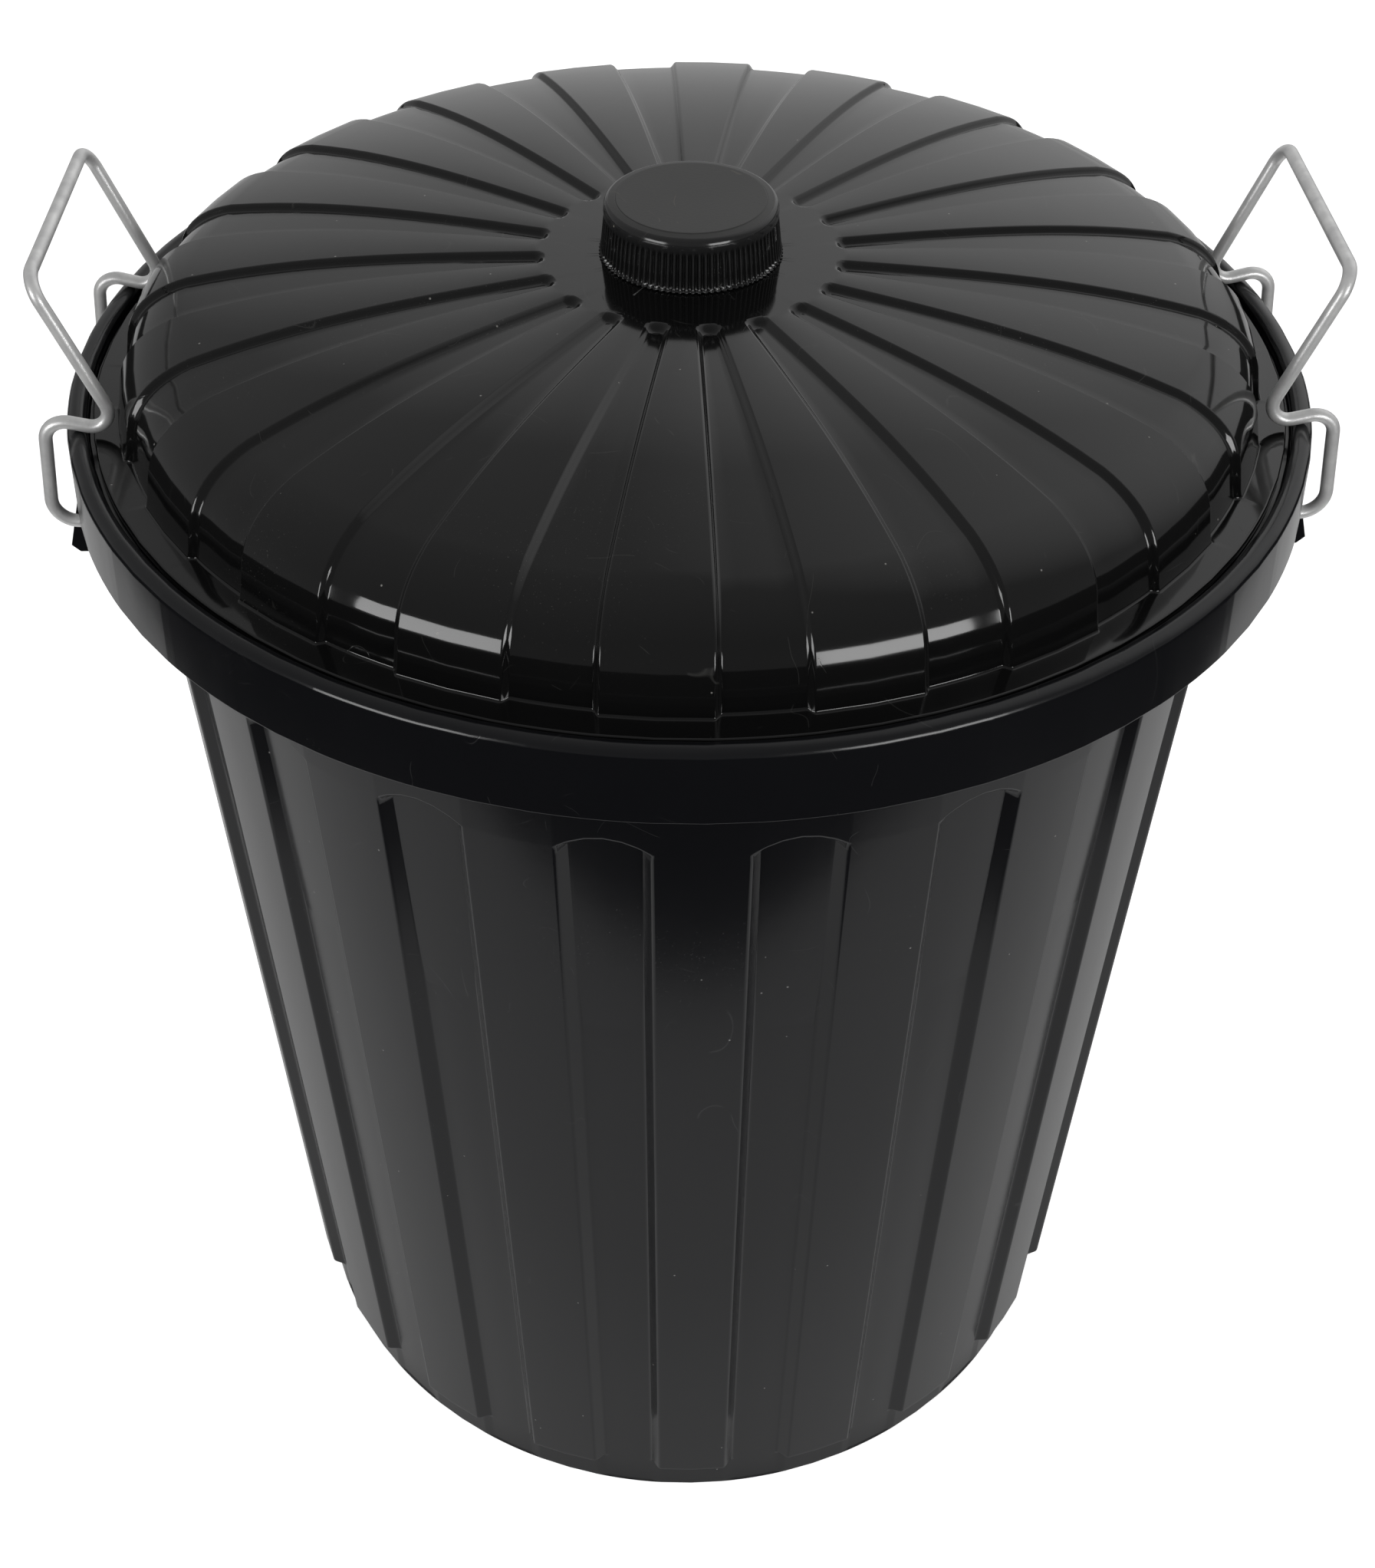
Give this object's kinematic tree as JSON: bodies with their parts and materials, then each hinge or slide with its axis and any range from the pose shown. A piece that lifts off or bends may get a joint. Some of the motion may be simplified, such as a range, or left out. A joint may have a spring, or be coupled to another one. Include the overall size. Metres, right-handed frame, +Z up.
{
  "type": "lidded round dustbin",
  "caption": "Round tapered plastic dustbin with fluted sides, a ribbed domed lift-off lid with a round knob, and wire handles that clamp the lid shut.",
  "frame": {"origin": "centre of the foot ring, on the floor", "axes": "+Z up along the bin's axis; the two wire handles lie on the X axis; the pictured front faces -Y"},
  "size_m": [0.4846, 0.4728, 0.5699],
  "materials": {
    "tub_plastic": "black injection-moulded polyethylene, semi-gloss, faint scratches and dust",
    "lid_plastic": "black injection-moulded polyethylene, glossy",
    "knob_plastic": "black plastic, glossy sides, satin top disc",
    "zinc_wire": "galvanized steel wire, satin light grey with faint draw marks",
    "zinc_fixing": "zinc-plated steel"
  },
  "bodies": {
    "tub": {"tub": "tub_plastic"},
    "lid": {"lid": "lid_plastic", "knob": "knob_plastic", "knob_washer": "zinc_fixing", "knob_screw": "zinc_fixing"},
    "handle_left": {"handle_left": "zinc_wire"},
    "handle_right": {"handle_right": "zinc_wire"}
  },
  "joints": [
    {"name": "handle_left_swing", "type": "hinge", "parent": "tub", "child": "handle_left", "pos_m": [-0.228, 0, 0.466], "axis": [0, -1, 0], "range_deg": [0, 175]},
    {"name": "handle_right_swing", "type": "hinge", "parent": "tub", "child": "handle_right", "pos_m": [0.228, 0, 0.466], "axis": [0, 1, 0], "range_deg": [0, 175]},
    {"name": "lid_lift", "type": "slide", "parent": "tub", "child": "lid", "axis": [0, 0, 1], "range_m": [0, 0.049]}
  ],
  "couplings": [
    {"joint": "handle_right_swing", "follows": "handle_left_swing", "ratio": 1},
    {"joint": "lid_lift", "follows": "handle_left_swing", "m_per_rad": 0.016}
  ]
}
